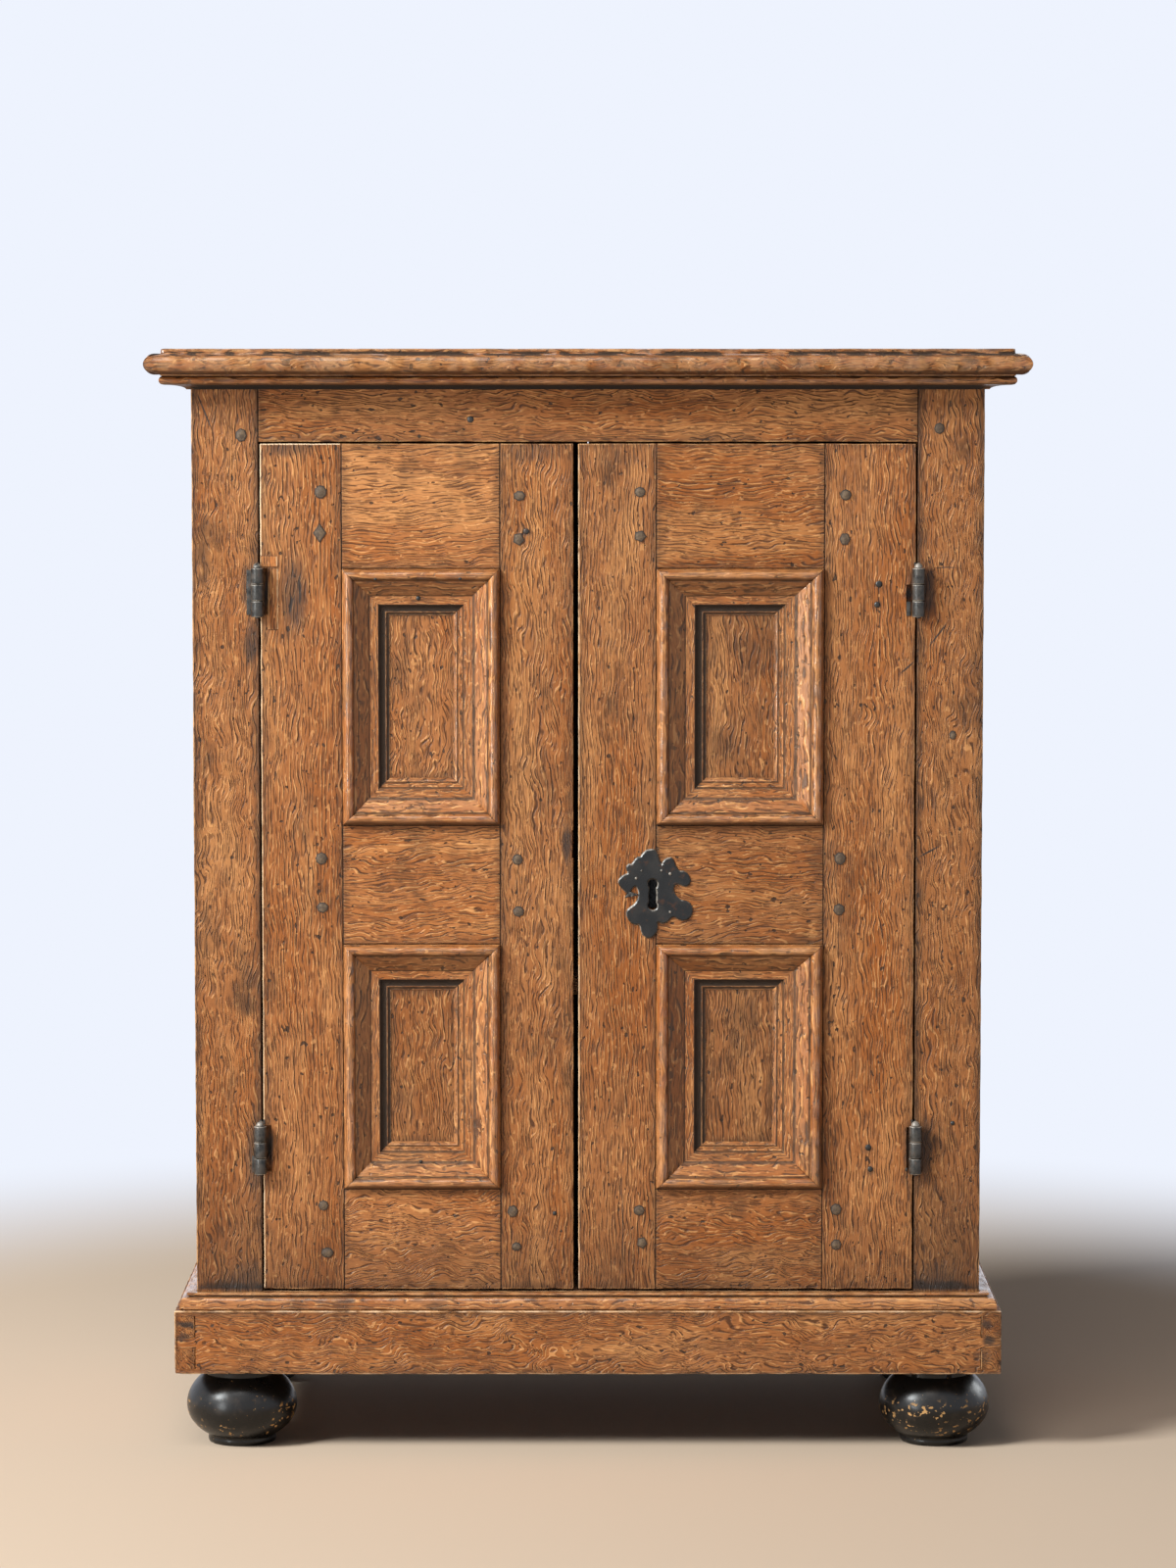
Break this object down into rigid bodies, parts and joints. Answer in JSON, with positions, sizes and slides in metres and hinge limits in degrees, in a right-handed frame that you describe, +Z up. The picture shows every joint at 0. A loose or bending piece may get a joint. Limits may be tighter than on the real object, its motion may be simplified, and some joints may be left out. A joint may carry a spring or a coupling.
{
  "type": "two-door cupboard",
  "caption": "Small joined oak cupboard with a pair of panelled doors, bolection mouldings, lobed escutcheon, moulded top and plinth on turned bun feet.",
  "frame": {"origin": "on the floor under the feet, in the middle of the outline of the whole cupboard", "axes": "+Z up, +Y from the doors towards the flat back, +X to the right seen from the front"},
  "size_m": [0.937, 0.4976, 1.182],
  "materials": {
    "frame_oak": "waxed and worn",
    "moulding_oak": "waxed, rubbed bright on the crests",
    "panel_oak": "waxed, figured",
    "inside_oak": "dry, unfinished",
    "ebonised_wood": "black stain, satin",
    "dark_iron": "forged, dark oxide, waxed"
  },
  "bodies": {
    "carcass": {"top_board": "frame_oak", "cornice_moulding": "moulding_oak", "frieze_rail": "frame_oak", "front_post_left": "frame_oak", "front_post_right": "frame_oak", "rear_post_left": "frame_oak", "rear_post_right": "frame_oak", "side_top_rail_left": "frame_oak", "side_top_rail_right": "frame_oak", "side_bottom_rail_left": "frame_oak", "side_bottom_rail_right": "frame_oak", "side_panel_left": "panel_oak", "side_panel_right": "panel_oak", "back_board_left": "inside_oak", "back_board_right": "inside_oak", "floor_board": "inside_oak", "shelf": "inside_oak", "plinth_front": "frame_oak", "plinth_left": "frame_oak", "plinth_right": "frame_oak", "plinth_moulding": "moulding_oak", "front_foot_left": "ebonised_wood", "front_foot_right": "ebonised_wood", "rear_foot_left": "ebonised_wood", "rear_foot_right": "ebonised_wood", "hinge_post_leaf_left_lower": "dark_iron", "hinge_post_leaf_left_upper": "dark_iron", "hinge_post_leaf_right_lower": "dark_iron", "hinge_post_leaf_right_upper": "dark_iron", "hinge_pin_left_lower": "dark_iron", "hinge_pin_left_upper": "dark_iron", "hinge_pin_right_lower": "dark_iron", "hinge_pin_right_upper": "dark_iron"},
    "left_door": {"left_door_hinge_stile": "frame_oak", "left_door_meeting_stile": "frame_oak", "left_door_bottom_rail": "frame_oak", "left_door_middle_rail": "frame_oak", "left_door_top_rail": "frame_oak", "left_door_lower_panel": "panel_oak", "left_door_upper_panel": "panel_oak", "left_door_lower_moulding": "moulding_oak", "left_door_upper_moulding": "moulding_oak", "hinge_door_leaf_left_lower": "dark_iron", "hinge_door_leaf_left_upper": "dark_iron", "slide_bolt_plate": "dark_iron"},
    "right_door": {"right_door_hinge_stile": "frame_oak", "right_door_meeting_stile": "frame_oak", "right_door_bottom_rail": "frame_oak", "right_door_middle_rail": "frame_oak", "right_door_top_rail": "frame_oak", "right_door_lower_panel": "panel_oak", "right_door_upper_panel": "panel_oak", "right_door_lower_moulding": "moulding_oak", "right_door_upper_moulding": "moulding_oak", "hinge_door_leaf_right_lower": "dark_iron", "hinge_door_leaf_right_upper": "dark_iron", "escutcheon": "dark_iron", "lock_case": "dark_iron"},
    "slide_bolt": {"slide_bolt": "dark_iron"},
    "lock_bolt": {"lock_bolt": "dark_iron"}
  },
  "joints": [
    {"name": "left_door_hinge", "type": "hinge", "parent": "carcass", "child": "left_door", "pos_m": [-0.351, -0.20875, 0.329], "axis": [0, 0, -1], "range_deg": [0, 170]},
    {"name": "right_door_hinge", "type": "hinge", "parent": "carcass", "child": "right_door", "pos_m": [0.351, -0.20875, 0.329], "axis": [0, 0, 1], "range_deg": [0, 170]},
    {"name": "slide_bolt_travel", "type": "slide", "parent": "left_door", "child": "slide_bolt", "axis": [0, 0, 1], "range_m": [0, 0.02]},
    {"name": "lock_bolt_travel", "type": "slide", "parent": "right_door", "child": "lock_bolt", "axis": [-1, 0, 0], "range_m": [0, 0.016]}
  ]
}
